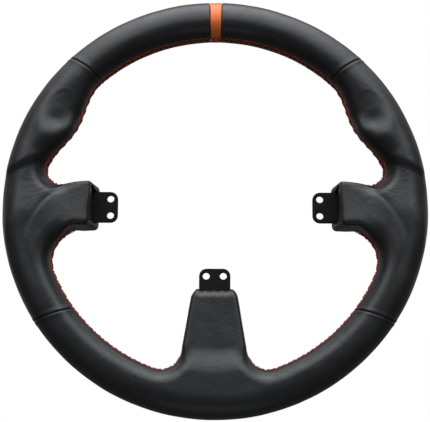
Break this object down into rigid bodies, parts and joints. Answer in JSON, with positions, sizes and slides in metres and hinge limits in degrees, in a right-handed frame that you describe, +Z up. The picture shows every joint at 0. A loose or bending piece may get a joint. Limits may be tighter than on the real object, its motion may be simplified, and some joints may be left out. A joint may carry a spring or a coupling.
{
  "type": "racing wheel",
  "caption": "Round leather-wrapped racing wheel rim with a centre marker and three padded spokes that end in steel plates for a hub",
  "frame": {"origin": "the centre of the wheel, on its turning axis and in the middle plane of the rim", "axes": "+Y points from the driver through the wheel to the wheel base and is the turning axis; +Z points up to the centre marker; +X points to the driver's right"},
  "size_m": [0.3, 0.0324, 0.3],
  "materials": {
    "black_leather": "smooth black cowhide with a fine grain and a soft satin sheen",
    "orange_leather": "orange dyed leather, matt",
    "red_thread": "waxed twisted polyester thread, orange red",
    "foam": "dark self-skinning polyurethane foam",
    "black_steel": "black powder coat with a fine grit texture",
    "bare_steel": "mill finish steel, darkened round the welds"
  },
  "bodies": {
    "root": {"rim_hoop": "bare_steel", "left_spoke_plate": "black_steel", "left_inner_weld": "bare_steel", "left_outer_weld": "bare_steel", "right_spoke_plate": "black_steel", "right_inner_weld": "bare_steel", "right_outer_weld": "bare_steel", "bottom_spoke_plate": "black_steel", "bottom_inner_weld": "bare_steel", "bottom_outer_weld": "bare_steel", "foam_core": "foam", "leather_left_grip": "black_leather", "leather_right_grip": "black_leather", "leather_bottom": "black_leather", "leather_top_left": "black_leather", "leather_top_right": "black_leather", "centre_marker": "orange_leather", "lacing_top": "red_thread", "lacing_lower_left": "red_thread", "lacing_lower_right": "red_thread"}
  },
  "joints": []
}
